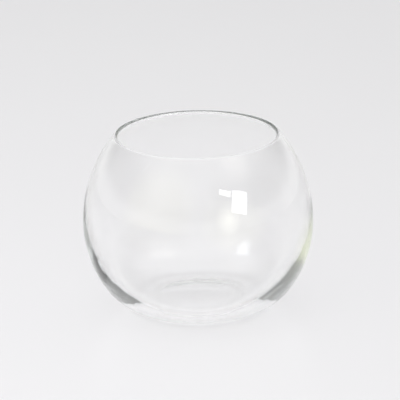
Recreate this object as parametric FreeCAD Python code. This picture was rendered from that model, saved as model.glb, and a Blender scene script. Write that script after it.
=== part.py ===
import FreeCAD, Part
import math
import os

# Rose bowl vase: one vessel of clear blown glass, a solid of revolution.
# The frame's origin is the centre of the plane that the foot rests on, with +Z up.
# Lengths are in millimetres and angles in degrees.

# Outside of the body, and the turn of its side arc below the waist before the sole arc takes over
body_diameter = 152.0
body_height = 119.0
waist_height = 59.5
side_turn = 34.0

# Mouth and its rounded, fire-polished lip
mouth_crest_diameter = 107.0
lip_thickness = 2.8

# Foot: a narrow flat ring that the bowl rests on, round a shallow push-up
foot_diameter = 60.0
foot_ring_width = 2.5
push_up_height = 1.2

# Hollow: thin wall at its own waist, a side arc that leaves the heel thick, and a flat floor
waist_wall = 1.7
hollow_waist_height = 62.3
hollow_turn = 43.5
floor_diameter = 56.0
sole_wall = 2.9

FULL_TURN = 360.0
HALF_TURN = 180.0
QUARTER_TURN = 90.0


def at(radius, height):
    """A point of the half section, which lies in the XZ plane."""
    return FreeCAD.Vector(radius, 0, height)


def on_circle(centre, radius, angle):
    """The point of a circle at an angle above the horizontal."""
    turn = math.radians(angle)
    return centre + at(radius * math.cos(turn), radius * math.sin(turn))


def arc(centre, radius, start, end):
    """The edge of a circle between two angles."""
    points = [on_circle(centre, radius, angle) for angle in (start, (start + end) / 2, end)]
    return Part.Arc(*points).toShape()


def angle_of(vector):
    """The angle above the horizontal of a vector in the half section."""
    return math.degrees(math.atan2(vector.z, vector.x))


def below_waist(waist, level, turn):
    """Two tangent arcs, in order going up, from level at the bottom to upright at the waist."""
    cosine = math.cos(math.radians(turn))
    sine = math.sin(math.radians(turn))
    reach = waist.x - level.x
    drop = waist.z - level.z
    side_radius = (drop * cosine - reach * (1 - sine)) / (cosine + sine - 1)
    level_radius = (reach * sine - drop * (1 - cosine)) / (cosine + sine - 1)
    level_centre = at(level.x, level.z + level_radius)
    side_centre = at(waist.x - side_radius, waist.z)
    return [arc(level_centre, level_radius, -QUARTER_TURN, -turn),
            arc(side_centre, side_radius, -turn, 0)]


def shoulder_circle(waist, lip_centre, lip_side):
    """Centre and radius of the arc that is upright at the waist and touches the lip's circle on one side."""
    reach = waist.x - lip_centre.x
    rise = lip_centre.z - waist.z
    radius = (reach**2 + rise**2 - lip_side**2) / (2 * (reach - lip_side))
    return at(waist.x - radius, waist.z), radius


def above_waist(outer_waist, inner_waist):
    """Inside shoulder, rounded lip and outside shoulder, from waist to waist."""
    lip_radius = lip_thickness / 2
    lip_centre = at(mouth_crest_diameter / 2, body_height - lip_radius)
    inner_centre, inner_radius = shoulder_circle(inner_waist, lip_centre, -lip_radius)
    outer_centre, outer_radius = shoulder_circle(outer_waist, lip_centre, lip_radius)
    inner_end = angle_of(lip_centre - inner_centre)
    outer_end = angle_of(lip_centre - outer_centre)
    return [arc(inner_centre, inner_radius, 0, inner_end),
            arc(lip_centre, lip_radius, inner_end + HALF_TURN, outer_end),
            arc(outer_centre, outer_radius, outer_end, 0)]


def foot():
    """Bearing ring and push-up, from the ring's outer edge to the axis."""
    ring_outer = foot_diameter / 2
    ring_inner = ring_outer - foot_ring_width
    dome_radius = (ring_inner**2 + push_up_height**2) / (2 * push_up_height)
    dome_centre = at(0, push_up_height - dome_radius)
    dome_end = angle_of(at(ring_inner, 0) - dome_centre)
    return [Part.makeLine(at(ring_outer, 0), at(ring_inner, 0)),
            arc(dome_centre, dome_radius, dome_end, QUARTER_TURN)]


def glass_bowl():
    """The whole vessel: its half section, up the hollow and down the outside, turned about the Z axis."""
    floor_height = push_up_height + sole_wall
    floor_edge = at(floor_diameter / 2, floor_height)
    outer_waist = at(body_diameter / 2, waist_height)
    inner_waist = at(body_diameter / 2 - waist_wall, hollow_waist_height)
    edges = [Part.makeLine(at(0, floor_height), floor_edge)]
    edges += below_waist(inner_waist, floor_edge, hollow_turn)
    edges += above_waist(outer_waist, inner_waist)
    edges += reversed(below_waist(outer_waist, at(foot_diameter / 2, 0), side_turn))
    edges += foot()
    edges += [Part.makeLine(at(0, push_up_height), at(0, floor_height))]
    section = Part.Face(Part.Wire(edges))
    return section.revolve(at(0, 0), at(0, 1), FULL_TURN)


os.makedirs("parts", exist_ok=True)
bowl = glass_bowl()
bowl.exportStep("parts/glass_bowl.step")
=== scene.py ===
"""Rose bowl vase of clear blown glass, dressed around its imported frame.

The bowl's half section is a chain of tangent arcs and short lines, as a blower's template gives it,
turned about the Z axis. Everything is in metres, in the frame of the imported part: +Z up, with the
origin at the centre of the foot, in the plane that the bowl rests on.
"""

import logging
import math
from dataclasses import dataclass, field
from enum import Enum

import bmesh
import bpy
from mathutils import Matrix, Vector


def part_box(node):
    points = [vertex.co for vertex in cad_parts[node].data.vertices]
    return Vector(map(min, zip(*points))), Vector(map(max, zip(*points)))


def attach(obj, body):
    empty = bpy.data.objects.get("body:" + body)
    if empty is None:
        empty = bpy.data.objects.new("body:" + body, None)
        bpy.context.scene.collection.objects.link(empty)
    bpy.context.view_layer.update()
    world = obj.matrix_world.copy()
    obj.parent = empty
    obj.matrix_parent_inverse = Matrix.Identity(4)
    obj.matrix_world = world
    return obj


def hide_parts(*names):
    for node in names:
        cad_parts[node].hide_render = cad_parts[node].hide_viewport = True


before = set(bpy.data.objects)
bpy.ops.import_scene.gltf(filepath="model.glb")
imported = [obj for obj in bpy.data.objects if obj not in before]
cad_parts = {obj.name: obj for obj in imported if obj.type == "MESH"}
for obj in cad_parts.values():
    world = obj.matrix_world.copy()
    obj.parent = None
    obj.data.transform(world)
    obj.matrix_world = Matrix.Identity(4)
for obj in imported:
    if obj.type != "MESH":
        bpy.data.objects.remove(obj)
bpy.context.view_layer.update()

log = logging.getLogger("rose_bowl")

Rgb = tuple[float, float, float]
Rgba = tuple[float, float, float, float]

BOWL_NODE = "glass_bowl"
BOWL_PIECE = "glass_bowl_visual"

MILLIMETRE = 0.001
ORIGIN = (0.0, 0.0, 0.0)
BOWL_AXIS = (0.0, 0.0, 1.0)
# A positive turn about this axis goes from +X towards +Z.
SECTION_AXIS = (0.0, -1.0, 0.0)
FULL_TURN = 2.0 * math.pi
HALF_TURN = math.pi
QUARTER_TURN = math.pi / 2.0

WHITE: Rgb = (1.0, 1.0, 1.0)
CLEAR: Rgba = (1.0, 1.0, 1.0, 1.0)
SCUFF_DETAIL = 4.0
WAVE_DETAIL = 3.0


class Side(Enum):
    """Which side of the wall a stretch of the section is on, as the number kept on its points."""

    OUTSIDE = 0.0
    HOLLOW = 1.0


@dataclass
class Template:
    """A half section drawn in the XZ plane as one chain of edges, from its last point onwards."""

    mesh: bmesh.types.BMesh
    edge_length: float
    fewest_steps: int = 12
    side_layer: bmesh.types.BMLayerItem = field(init=False)
    last: bmesh.types.BMVert = field(init=False)

    def start(self, radius: float, height: float, side: Side) -> None:
        """Set the chain's first point.

        Args:
            radius: Distance from the Z axis.
            height: Height above the resting plane.
            side: Side of the wall that the chain starts on.
        """
        self.side_layer = self.mesh.verts.layers.float.new("side")
        self.last = self.mesh.verts.new((radius, 0.0, height))
        self.last[self.side_layer] = side.value

    def line(self, radius: float, height: float) -> None:
        """Draw a straight run to a point, on the side of the wall that the chain is on.

        Args:
            radius: Distance of the run's end from the Z axis.
            height: Height of the run's end.
        """
        run = Vector((radius, 0.0, height)) - self.last.co
        steps = max(1, round(run.length / self.edge_length))
        for _ in range(steps):
            grown = bmesh.ops.extrude_vert_indiv(self.mesh, verts=[self.last])
            self.last = grown["verts"][0]
            self.last.co = self.last.co + run / steps

    def arc(self, centre: Vector, turn: float, side: Side) -> None:
        """Draw an arc from the chain's last point.

        Args:
            centre: Centre of the arc in the XZ plane.
            turn: Angle in radians, positive from +X towards +Z.
            side: Side of the wall that the arc's new points belong to.
        """
        radius = (self.last.co - centre).length
        steps = max(self.fewest_steps, round(radius * abs(turn) / self.edge_length))
        before = set(self.mesh.verts)
        grown = bmesh.ops.spin(
            self.mesh, geom=[self.last], cent=centre, axis=SECTION_AXIS,
            angle=turn, steps=steps, use_merge=False, use_duplicate=False,
        )
        for point in set(self.mesh.verts) - before:
            point[self.side_layer] = side.value
        self.last = next(
            item for item in grown["geom_last"] if isinstance(item, bmesh.types.BMVert))


@dataclass
class GlassBowl:
    """The vessel: lip, shoulder, body, thick heel, flat floor and foot ring in one gather.

    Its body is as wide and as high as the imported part, and the sizes up to the floor's radius are
    the part's own. The bias puts the greatest shift of the hollow at the thick heel.
    """

    body_radius: float
    body_height: float
    waist_height: float = 59.5 * MILLIMETRE
    side_turn: float = math.radians(34.0)
    mouth_crest_radius: float = 53.5 * MILLIMETRE
    lip_radius: float = 1.4 * MILLIMETRE
    foot_radius: float = 30.0 * MILLIMETRE
    foot_ring_width: float = 2.5 * MILLIMETRE
    push_up_height: float = 1.2 * MILLIMETRE
    waist_wall: float = 1.7 * MILLIMETRE
    sole_wall: float = 2.9 * MILLIMETRE
    hollow_waist_height: float = 62.3 * MILLIMETRE
    hollow_turn: float = math.radians(43.5)
    floor_radius: float = 28.0 * MILLIMETRE
    edge_length: float = 1.3 * MILLIMETRE
    turn_steps: int = 240
    merge_distance: float = 0.001 * MILLIMETRE
    hollow_shift: float = 0.35 * MILLIMETRE
    shifted_height: float = 44.0 * MILLIMETRE
    shift_bias: float = 0.58

    @property
    def floor_height(self) -> float:
        """Height of the hollow's flat floor."""
        return self.push_up_height + self.sole_wall

    @staticmethod
    def angle(vector: Vector) -> float:
        """Return a vector's angle above the horizontal in the section's plane."""
        return math.atan2(vector.z, vector.x)

    @staticmethod
    def below_waist(waist: Vector, level: Vector, turn: float) -> tuple[Vector, Vector]:
        """Work out the two tangent arcs between a surface's waist and the level below.

        Args:
            waist: Widest point of the surface, where it is upright.
            level: Point where the surface becomes level.
            turn: Turn of the upper of the two arcs, in radians.

        Returns:
            The centres of the upper and the lower arc.
        """
        reach = waist.x - level.x
        drop = waist.z - level.z
        share = math.cos(turn) + math.sin(turn) - 1.0
        side = (drop * math.cos(turn) - reach * (1.0 - math.sin(turn))) / share
        sole = (reach * math.sin(turn) - drop * (1.0 - math.cos(turn))) / share
        return waist - Vector((side, 0.0, 0.0)), level + Vector((0.0, 0.0, sole))

    def shoulder_centre(self, waist: Vector, lip_side: float) -> Vector:
        """Find the centre of the arc that leaves a waist upright and touches the lip's circle.

        Args:
            waist: Widest point of the surface.
            lip_side: The lip's radius, positive for the outside and negative for the hollow.

        Returns:
            The arc's centre, at the height of the waist.
        """
        reach = waist.x - self.mouth_crest_radius
        rise = self.body_height - self.lip_radius - waist.z
        radius = (reach**2 + rise**2 - lip_side**2) / (2.0 * (reach - lip_side))
        return waist - Vector((radius, 0.0, 0.0))

    def section(self, mesh: bmesh.types.BMesh) -> None:
        """Draw the half section, from the floor's middle up the hollow and down the outside.

        Args:
            mesh: Empty mesh that takes the chain.
        """
        floor_edge = Vector((self.floor_radius, 0.0, self.floor_height))
        foot_edge = Vector((self.foot_radius, 0.0, 0.0))
        inner_waist = Vector((self.body_radius - self.waist_wall, 0.0, self.hollow_waist_height))
        outer_waist = Vector((self.body_radius, 0.0, self.waist_height))
        lip_centre = Vector((self.mouth_crest_radius, 0.0, self.body_height - self.lip_radius))
        inner_shoulder = self.shoulder_centre(inner_waist, -self.lip_radius)
        outer_shoulder = self.shoulder_centre(outer_waist, self.lip_radius)
        inner_end = self.angle(lip_centre - inner_shoulder)
        outer_end = self.angle(lip_centre - outer_shoulder)
        hollow_side, hollow_level = self.below_waist(inner_waist, floor_edge, self.hollow_turn)
        outer_side, outer_level = self.below_waist(outer_waist, foot_edge, self.side_turn)
        ring_inner = self.foot_radius - self.foot_ring_width
        dome_radius = (ring_inner**2 + self.push_up_height**2) / (2.0 * self.push_up_height)
        dome_centre = Vector((0.0, 0.0, self.push_up_height - dome_radius))

        template = Template(mesh, self.edge_length)
        template.start(0.0, floor_edge.z, Side.HOLLOW)
        template.line(floor_edge.x, floor_edge.z)
        template.arc(hollow_level, QUARTER_TURN - self.hollow_turn, Side.HOLLOW)
        template.arc(hollow_side, self.hollow_turn, Side.HOLLOW)
        template.arc(inner_shoulder, inner_end, Side.HOLLOW)
        template.arc(lip_centre, outer_end - inner_end - HALF_TURN, Side.OUTSIDE)
        template.arc(outer_shoulder, -outer_end, Side.OUTSIDE)
        template.arc(outer_side, -self.side_turn, Side.OUTSIDE)
        template.arc(outer_level, self.side_turn - QUARTER_TURN, Side.OUTSIDE)
        template.line(ring_inner, 0.0)
        template.arc(dome_centre, math.asin(ring_inner / dome_radius), Side.OUTSIDE)

    def settle(self, mesh: bmesh.types.BMesh) -> None:
        """Set the lower hollow a little off centre, as a blown heel is never quite even all round.

        Args:
            mesh: The turned bowl. Its floor and all above the shifted height stay where they are.
        """
        side_layer = mesh.verts.layers.float["side"]
        span = self.shifted_height - self.floor_height
        for vert in mesh.verts:
            rise = (vert.co.z - self.floor_height) / span
            if vert[side_layer] == Side.HOLLOW.value and 0.0 < rise < 1.0:
                vert.co.x -= self.hollow_shift * math.sin(HALF_TURN * rise**self.shift_bias)

    def build(self) -> bpy.types.Object:
        """Make the bowl's mesh.

        Returns:
            The bowl's object, at the origin with its place in its mesh.
        """
        mesh = bmesh.new()
        self.section(mesh)
        bmesh.ops.spin(
            mesh, geom=mesh.verts[:] + mesh.edges[:], cent=ORIGIN, axis=BOWL_AXIS,
            angle=FULL_TURN, steps=self.turn_steps, use_merge=True, use_duplicate=False,
        )
        bmesh.ops.remove_doubles(mesh, verts=mesh.verts[:], dist=self.merge_distance)
        bmesh.ops.recalc_face_normals(mesh, faces=mesh.faces[:])
        self.settle(mesh)
        for face in mesh.faces:
            face.smooth = True
        data = bpy.data.meshes.new(BOWL_PIECE)
        mesh.to_mesh(data)
        mesh.free()
        bowl = bpy.data.objects.new(BOWL_PIECE, data)
        bpy.context.scene.collection.objects.link(bowl)
        return bowl


def grey(tone: float) -> Rgba:
    """Return a neutral tone as an opaque colour."""
    return (tone, tone, tone, 1.0)


def add_sockets(group: bpy.types.NodeTree, way: str, names: tuple[str, ...]) -> None:
    """Give a node group its number sockets.

    Args:
        group: The node group.
        way: INPUT or OUTPUT.
        names: Names of the sockets.
    """
    for name in names:
        group.interface.new_socket(name=name, in_out=way, socket_type="NodeSocketFloat")


def place_group(
    tree: bpy.types.NodeTree, group: bpy.types.NodeTree, values: dict[str, float],
) -> bpy.types.Node:
    """Place a node group in a material, with the material's own values.

    Args:
        tree: The material's node tree.
        group: The node group.
        values: Names of the group's inputs with their values.

    Returns:
        The group's node.
    """
    node = tree.nodes.new("ShaderNodeGroup")
    node.node_tree = group
    for name, value in values.items():
        node.inputs[name].default_value = value
    return node


def ring_wear_group() -> bpy.types.NodeTree:
    """Build the group that masks the scuffs of a resting face, strongest at its lowest points.

    Returns:
        The node group, with the scuffs' mask as its output.
    """
    group = bpy.data.node_groups.new("resting_face_wear", "ShaderNodeTree")
    add_sockets(group, "INPUT", ("Reach", "Scuff Scale"))
    add_sockets(group, "OUTPUT", ("Wear",))
    nodes, links = group.nodes, group.links
    given = nodes.new("NodeGroupInput")
    place = nodes.new("ShaderNodeTexCoord")
    height = nodes.new("ShaderNodeSeparateXYZ")
    links.new(place.outputs["Object"], height.inputs["Vector"])
    near = nodes.new("ShaderNodeMapRange")
    near.inputs["To Min"].default_value = 1.0
    near.inputs["To Max"].default_value = 0.0
    links.new(height.outputs["Z"], near.inputs["Value"])
    links.new(given.outputs["Reach"], near.inputs["From Max"])
    scuffs = nodes.new("ShaderNodeTexNoise")
    scuffs.inputs["Detail"].default_value = SCUFF_DETAIL
    links.new(place.outputs["Object"], scuffs.inputs["Vector"])
    links.new(given.outputs["Scuff Scale"], scuffs.inputs["Scale"])
    wear = nodes.new("ShaderNodeMath")
    wear.operation = "MULTIPLY"
    links.new(near.outputs["Result"], wear.inputs[0])
    links.new(scuffs.outputs["Fac"], wear.inputs[1])
    result = nodes.new("NodeGroupOutput")
    links.new(wear.outputs["Value"], result.inputs["Wear"])
    return group


def waviness_group() -> bpy.types.NodeTree:
    """Build the group that gives the height of slow waves in a surface.

    Returns:
        The node group, with the waves' height from 0 to 1 as its output.
    """
    group = bpy.data.node_groups.new("slow_waves", "ShaderNodeTree")
    add_sockets(group, "INPUT", ("Scale", "Upright Stretch"))
    add_sockets(group, "OUTPUT", ("Height",))
    nodes, links = group.nodes, group.links
    given = nodes.new("NodeGroupInput")
    place = nodes.new("ShaderNodeTexCoord")
    stretch = nodes.new("ShaderNodeCombineXYZ")
    stretch.inputs["X"].default_value = 1.0
    stretch.inputs["Y"].default_value = 1.0
    links.new(given.outputs["Upright Stretch"], stretch.inputs["Z"])
    drawn = nodes.new("ShaderNodeVectorMath")
    drawn.operation = "MULTIPLY"
    links.new(place.outputs["Object"], drawn.inputs[0])
    links.new(stretch.outputs["Vector"], drawn.inputs[1])
    waves = nodes.new("ShaderNodeTexNoise")
    waves.inputs["Detail"].default_value = WAVE_DETAIL
    links.new(drawn.outputs["Vector"], waves.inputs["Vector"])
    links.new(given.outputs["Scale"], waves.inputs["Scale"])
    result = nodes.new("NodeGroupOutput")
    links.new(waves.outputs["Fac"], result.inputs["Height"])
    return group


@dataclass(frozen=True)
class ClearGlass:
    """Clear soda-lime glass with the faint green of its iron, blown, and fire-polished at the lip.

    The shade levels are heights, up to the shade's reach, with the share of the light that passes
    the wall there on its way to the table: less just above the foot and at the thick heel.
    """

    index: float = 1.52
    tint: Rgba = (0.81, 0.835, 0.825, 1.0)
    absorption: float = 7.0
    wave_height: float = 0.22 * MILLIMETRE
    wave_scale: float = 22.0
    wave_stretch: float = 0.6
    worn_roughness: float = 0.45
    worn_reach: float = 0.6 * MILLIMETRE
    scuff_scale: float = 900.0
    grazing_shade: float = 0.98
    shade_reach: float = 0.030
    shade_levels: tuple[tuple[float, float], ...] = (
        (0.0012, 1.0), (0.0016, 0.9), (0.0030, 0.9), (0.0038, 1.0),
        (0.005, 1.0), (0.011, 0.975), (0.016, 0.975), (0.028, 1.0),
    )

    def dress_surface(
        self, tree: bpy.types.NodeTree, wear: bpy.types.NodeTree, waves: bpy.types.NodeTree,
    ) -> bpy.types.NodeSocket:
        """Set the polished surface, with its slow waves and the scuffs of its foot.

        Args:
            tree: The material's node tree.
            wear: Group that masks the scuffs of the foot's resting face.
            waves: Group that gives the height of the surface's slow waves.

        Returns:
            The surface that the eye and its reflections see.
        """
        nodes, links = tree.nodes, tree.links
        shader = nodes["Principled BSDF"]
        shader.inputs["Base Color"].default_value = CLEAR
        shader.inputs["Transmission Weight"].default_value = 1.0
        shader.inputs["IOR"].default_value = self.index
        scuffed = place_group(
            tree, wear, {"Reach": self.worn_reach, "Scuff Scale": self.scuff_scale})
        roughness = nodes.new("ShaderNodeMath")
        roughness.operation = "MULTIPLY"
        roughness.inputs[1].default_value = self.worn_roughness
        links.new(scuffed.outputs["Wear"], roughness.inputs[0])
        links.new(roughness.outputs["Value"], shader.inputs["Roughness"])
        wavy = place_group(
            tree, waves, {"Scale": self.wave_scale, "Upright Stretch": self.wave_stretch})
        bump = nodes.new("ShaderNodeBump")
        bump.inputs["Strength"].default_value = 1.0
        bump.inputs["Distance"].default_value = self.wave_height
        links.new(wavy.outputs["Height"], bump.inputs["Height"])
        links.new(bump.outputs["Normal"], shader.inputs["Normal"])
        return shader.outputs["BSDF"]

    def hold_light(self, tree: bpy.types.NodeTree) -> bpy.types.NodeSocket:
        """Work out what the wall holds back of the light that passes it to the table.

        Args:
            tree: The material's node tree.

        Returns:
            The tone that is left, lowest where the wall is met at a slant and at its thick foot.
        """
        nodes, links = tree.nodes, tree.links
        place = nodes.new("ShaderNodeTexCoord")
        height = nodes.new("ShaderNodeSeparateXYZ")
        links.new(place.outputs["Object"], height.inputs["Vector"])
        climb = nodes.new("ShaderNodeMapRange")
        climb.inputs["From Max"].default_value = self.shade_reach
        links.new(height.outputs["Z"], climb.inputs["Value"])
        held = nodes.new("ShaderNodeValToRGB")
        stops = held.color_ramp.elements
        stops[0].color = stops[1].color = CLEAR
        for level, tone in self.shade_levels:
            stops.new(level / self.shade_reach).color = grey(tone)
        links.new(climb.outputs["Result"], held.inputs["Fac"])
        slant = nodes.new("ShaderNodeLayerWeight")
        shade = nodes.new("ShaderNodeMix")
        shade.data_type = "RGBA"
        shade.inputs["A"].default_value = CLEAR
        shade.inputs["B"].default_value = grey(self.grazing_shade)
        links.new(slant.outputs["Facing"], shade.inputs["Factor"])
        dim = nodes.new("ShaderNodeMix")
        dim.data_type = "RGBA"
        dim.blend_type = "MULTIPLY"
        dim.inputs["Factor"].default_value = 1.0
        links.new(shade.outputs["Result"], dim.inputs["A"])
        links.new(held.outputs["Color"], dim.inputs["B"])
        return dim.outputs["Result"]

    def material(
        self, wear: bpy.types.NodeTree, waves: bpy.types.NodeTree,
    ) -> bpy.types.Material:
        """Build the material.

        Light on its way to the table meets clear glass with a slight loss, because traced caustics
        would need far more samples.

        Args:
            wear: Group that masks the scuffs of the foot's resting face.
            waves: Group that gives the height of the surface's slow waves.

        Returns:
            The glass, with its tint held by its volume.
        """
        material = bpy.data.materials.new("clear_blown_glass")
        material.use_nodes = True
        tree = material.node_tree
        nodes, links = tree.nodes, tree.links
        output = nodes["Material Output"]
        polished = self.dress_surface(tree, wear, waves)
        clear = nodes.new("ShaderNodeBsdfTransparent")
        links.new(self.hold_light(tree), clear.inputs["Color"])
        rays = nodes.new("ShaderNodeLightPath")
        passing = nodes.new("ShaderNodeMath")
        passing.operation = "MAXIMUM"
        links.new(rays.outputs["Is Shadow Ray"], passing.inputs[0])
        links.new(rays.outputs["Is Diffuse Ray"], passing.inputs[1])
        surface = nodes.new("ShaderNodeMixShader")
        links.new(passing.outputs["Value"], surface.inputs["Fac"])
        links.new(polished, surface.inputs[1])
        links.new(clear.outputs["BSDF"], surface.inputs[2])
        links.new(surface.outputs["Shader"], output.inputs["Surface"])
        body = nodes.new("ShaderNodeVolumeAbsorption")
        body.inputs["Color"].default_value = self.tint
        body.inputs["Density"].default_value = self.absorption
        links.new(body.outputs["Volume"], output.inputs["Volume"])
        return material


@dataclass(frozen=True)
class PaleTable:
    """A smooth off-white table top with a soft sheen and a faint mottle."""

    half_side: float = 6.0
    light_tone: Rgba = (0.80, 0.796, 0.819, 1.0)
    dark_tone: Rgba = (0.78, 0.776, 0.805, 1.0)
    roughness: float = 0.32
    specular_level: float = 0.3
    mottle_scale: float = 3.0

    def material(self) -> bpy.types.Material:
        """Build the table's material.

        Returns:
            The off-white finish, mottled between its light and its dark tone.
        """
        material = bpy.data.materials.new("pale_table")
        material.use_nodes = True
        nodes, links = material.node_tree.nodes, material.node_tree.links
        shader = nodes["Principled BSDF"]
        shader.inputs["Roughness"].default_value = self.roughness
        shader.inputs["Specular IOR Level"].default_value = self.specular_level
        place = nodes.new("ShaderNodeTexCoord")
        mottle = nodes.new("ShaderNodeTexNoise")
        mottle.inputs["Scale"].default_value = self.mottle_scale
        links.new(place.outputs["Object"], mottle.inputs["Vector"])
        tone = nodes.new("ShaderNodeMix")
        tone.data_type = "RGBA"
        tone.inputs["A"].default_value = self.dark_tone
        tone.inputs["B"].default_value = self.light_tone
        links.new(mottle.outputs["Fac"], tone.inputs["Factor"])
        links.new(tone.outputs["Result"], shader.inputs["Base Color"])
        return material

    def build(self) -> bpy.types.Object:
        """Make the table top under the bowl.

        Returns:
            The table top's object.
        """
        mesh = bmesh.new()
        bmesh.ops.create_grid(mesh, x_segments=1, y_segments=1, size=self.half_side)
        data = bpy.data.meshes.new("table_top")
        mesh.to_mesh(data)
        mesh.free()
        table = bpy.data.objects.new("table_top", data)
        bpy.context.scene.collection.objects.link(table)
        data.materials.append(self.material())
        return table


def toward(azimuth: float, elevation: float) -> Vector:
    """Give the way to a place in the studio as seen from the bowl.

    Args:
        azimuth: Degrees from the camera's side of the table, positive to the right.
        elevation: Degrees above the table.

    Returns:
        The unit vector that points there.
    """
    around, rise = math.radians(azimuth), math.radians(elevation)
    level = math.cos(rise)
    return Vector((math.sin(around) * level, -math.cos(around) * level, math.sin(rise)))


class Mirror(Enum):
    """Which wall of the bowl shows a lamp as a highlight.

    Each value tells whether rays that were scattered, mirrored and let through see the lamp.
    """

    NEITHER = (True, False, False)
    NEAR = (False, True, False)
    FAR = (False, False, True)


@dataclass(frozen=True)
class Softbox:
    """A rectangular lamp that faces the bowl, placed by the way that it is seen in, in degrees.

    The radiance is that of a lamp with the full spread. A narrower one of the same radiance is
    brighter in its middle, and its highlight has soft edges.
    """

    name: str
    azimuth: float
    elevation: float
    distance: float
    width: float
    height: float
    radiance: float
    roll: float = 0.0
    colour: Rgb = WHITE
    mirror: Mirror = Mirror.NEITHER
    spread: float = 180.0
    aside: tuple[float, float, float] = (0.0, 0.0, 0.0)

    def build(self, aim: Vector) -> bpy.types.Object:
        """Hang the lamp.

        Args:
            aim: Middle of the bowl. The lamp faces it, or the place that lies aside from it.

        Returns:
            The lamp's object.
        """
        way = toward(self.azimuth, self.elevation)
        data = bpy.data.lights.new(self.name, "AREA")
        data.shape = "RECTANGLE"
        data.size = self.width
        data.size_y = self.height
        data.energy = self.radiance * math.pi * self.width * self.height
        data.color = self.colour
        data.spread = math.radians(self.spread)
        lamp = bpy.data.objects.new(self.name, data)
        roll = Matrix.Rotation(math.radians(self.roll), 3, "Z")
        turn = way.to_track_quat("Z", "Y").to_matrix() @ roll
        lamp.location = aim + Vector(self.aside) + way * self.distance
        lamp.rotation_euler = turn.to_euler()
        lamp.visible_camera = False
        lamp.visible_diffuse, lamp.visible_glossy, lamp.visible_transmission = self.mirror.value
        bpy.context.scene.collection.objects.link(lamp)
        return lamp


@dataclass(frozen=True)
class WallGlow:
    """A soft patch on the studio's walls, in degrees. A negative gain darkens them."""

    azimuth: float
    elevation: float
    reach: float
    gain: float
    colour: Rgb = WHITE


def smooth_ramp(
    tree: bpy.types.NodeTree, value: bpy.types.NodeSocket,
    span: tuple[float, float], tones: tuple[float, float],
) -> bpy.types.NodeSocket:
    """Blend smoothly from one tone to another as a value grows.

    Args:
        tree: Node tree that takes the ramp.
        value: Value that the ramp follows.
        span: Values where the ramp starts and ends.
        tones: Tones before and after it.

    Returns:
        The blended tone.
    """
    ramp = tree.nodes.new("ShaderNodeMapRange")
    ramp.interpolation_type = "SMOOTHSTEP"
    for name, number in zip(("From Min", "From Max", "To Min", "To Max"), (*span, *tones)):
        ramp.inputs[name].default_value = number
    tree.links.new(value, ramp.inputs["Value"])
    return ramp.outputs["Result"]


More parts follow.
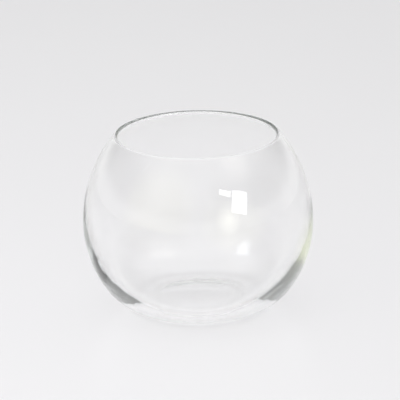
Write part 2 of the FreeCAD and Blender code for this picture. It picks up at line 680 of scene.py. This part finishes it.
@dataclass
class Studio:
    """A grey room with a pale ceiling, a pale cove where its walls meet the floor, and its lamps.

    The starts and ends are sines of elevations, and the lamps other than the overhead bank are the
    highlights that the bowl mirrors.
    """

    aim: Vector
    low_tone: float = 0.26
    high_tone: float = 1.20
    low_end: float = 0.45
    high_start: float = 0.90
    cove_gain: float = 0.66
    cove_start: float = 0.11
    cove_end: float = 0.30
    light_bounces: int = 50
    glows: tuple[WallGlow, ...] = (
        WallGlow(azimuth=-42.0, elevation=18.0, reach=46.0, gain=0.70, colour=(0.99, 1.0, 0.66)),
        WallGlow(azimuth=0.0, elevation=30.0, reach=22.0, gain=0.45),
        WallGlow(azimuth=78.0, elevation=14.0, reach=30.0, gain=-0.31),
        WallGlow(azimuth=68.0, elevation=53.0, reach=18.0, gain=0.65, colour=(1.0, 0.99, 0.90)),
    )
    lamps: tuple[Softbox, ...] = (
        Softbox(
            "overhead", azimuth=-46.0, elevation=60.0, distance=1.65, width=1.3, height=1.3,
            radiance=2.13, colour=(1.0, 0.99, 1.01)),
        Softbox(
            "window", azimuth=45.0, elevation=21.0, distance=1.5, width=0.40, height=0.46,
            radiance=6.0, roll=-22.0, mirror=Mirror.NEAR),
        Softbox(
            "window_wing", azimuth=31.5, elevation=31.0, distance=1.5, width=0.30, height=0.12,
            radiance=6.0, roll=-22.0, mirror=Mirror.NEAR),
        Softbox(
            "warm_card", azimuth=31.0, elevation=9.5, distance=1.0, width=0.56, height=0.48,
            radiance=0.080, colour=(1.0, 0.98, 0.84), mirror=Mirror.NEAR, spread=28.0),
        Softbox(
            "left_grid", azimuth=-74.0, elevation=48.0, distance=0.4, width=0.110, height=0.17,
            radiance=0.055, colour=(0.92, 0.96, 1.0), mirror=Mirror.FAR, spread=22.0,
            aside=(0.035, 0.070, -0.030)),
    )

    def room(self) -> bpy.types.World:
        """Make the room's walls.

        Returns:
            The world, with its pale ceiling, its cove and its glows.
        """
        world = bpy.data.worlds.new("grey_room")
        world.use_nodes = True
        tree = world.node_tree
        nodes, links = tree.nodes, tree.links
        way = nodes.new("ShaderNodeTexCoord")
        height = nodes.new("ShaderNodeSeparateXYZ")
        links.new(way.outputs["Generated"], height.inputs["Vector"])
        walls = smooth_ramp(
            tree, height.outputs["Z"],
            (self.low_end, self.high_start), (self.low_tone, self.high_tone))
        cove = smooth_ramp(
            tree, height.outputs["Z"], (self.cove_start, self.cove_end), (self.cove_gain, 0.0))
        sweep = nodes.new("ShaderNodeMath")
        links.new(walls, sweep.inputs[0])
        links.new(cove, sweep.inputs[1])
        light = sweep.outputs["Value"]
        for glow in self.glows:
            near = nodes.new("ShaderNodeVectorMath")
            near.operation = "DOT_PRODUCT"
            near.inputs[1].default_value = toward(glow.azimuth, glow.elevation)
            links.new(way.outputs["Generated"], near.inputs[0])
            edge = math.cos(math.radians(glow.reach))
            patch = smooth_ramp(tree, near.outputs["Value"], (edge, 1.0), (0.0, glow.gain))
            added = nodes.new("ShaderNodeVectorMath")
            added.operation = "MULTIPLY_ADD"
            added.inputs[1].default_value = glow.colour
            links.new(patch, added.inputs[0])
            links.new(light, added.inputs[2])
            light = added.outputs["Vector"]
        never_negative = nodes.new("ShaderNodeVectorMath")
        never_negative.operation = "MAXIMUM"
        links.new(light, never_negative.inputs[0])
        links.new(never_negative.outputs["Vector"], nodes["Background"].inputs["Color"])
        return world

    def build(self) -> None:
        """Set the room, hang the lamps, and let light run as far as the thick heel guides it."""
        bpy.context.scene.world = self.room()
        for lamp in self.lamps:
            lamp.build(self.aim)
        cycles = bpy.context.scene.cycles
        cycles.max_bounces = self.light_bounces
        cycles.transmission_bounces = self.light_bounces
        cycles.glossy_bounces = self.light_bounces


@dataclass(frozen=True)
class PhotoCamera:
    """The photograph's long lens, placed by where the bowl's waist lies in its frame.

    The distance is in the bowl's radii, the sensor's width in millimetres, and the last three
    sizes are pixels of the photograph.
    """

    elevation: float = math.radians(18.2)
    roll: float = math.radians(1.0)
    distance_radii: float = 30.0
    far_clip: float = 100.0
    sensor: float = 36.0
    frame_pixels: float = 400.0
    radius_pixels: float = 115.1
    waist_pixel: tuple[float, float] = (198.2, 219.9)

    def build(self, waist: Vector, body_radius: float) -> bpy.types.Object:
        """Place the camera and make it the scene's.

        Args:
            waist: Centre of the bowl's waist.
            body_radius: The bowl's radius there.

        Returns:
            The camera's object.
        """
        distance = self.distance_radii * body_radius
        tilt = Matrix.Rotation(QUARTER_TURN - self.elevation, 3, "X")
        turn = tilt @ Matrix.Rotation(-self.roll, 3, "Z")
        metres_per_pixel = body_radius / self.radius_pixels
        middle = self.frame_pixels / 2.0
        across = (self.waist_pixel[0] - middle) * metres_per_pixel
        up = (middle - self.waist_pixel[1]) * metres_per_pixel
        data = bpy.data.cameras.new("photo_camera")
        data.sensor_width = self.sensor
        data.lens = self.sensor * distance / (self.frame_pixels * metres_per_pixel)
        data.clip_end = self.far_clip
        camera = bpy.data.objects.new("photo_camera", data)
        camera.rotation_euler = turn.to_euler()
        camera.location = waist - turn @ Vector((across, up, -distance))
        bpy.context.scene.collection.objects.link(camera)
        bpy.context.scene.camera = camera
        return camera


def main() -> None:
    """Build the bowl, its glass, the table, the light and the camera."""
    logging.basicConfig(level=logging.INFO)
    low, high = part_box(BOWL_NODE)
    sizes = GlassBowl(body_radius=(high[0] - low[0]) / 2.0, body_height=high[2])
    bowl = sizes.build()
    bowl.data.materials.append(ClearGlass().material(ring_wear_group(), waviness_group()))
    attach(bowl, "root")
    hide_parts(BOWL_NODE)
    log.info("%s: %d faces", bowl.name, len(bowl.data.polygons))
    table = PaleTable().build()
    log.info("%s: stage", table.name)
    waist = Vector((0.0, 0.0, sizes.waist_height))
    studio = Studio(waist)
    studio.build()
    log.info("studio: %d lamps and %d glows", len(studio.lamps), len(studio.glows))
    camera = PhotoCamera().build(waist, sizes.body_radius)
    bpy.context.scene.view_settings.view_transform = "Standard"
    log.info("%s: %.0f mm lens", camera.name, camera.data.lens)


if __name__ == "__main__":
    main()
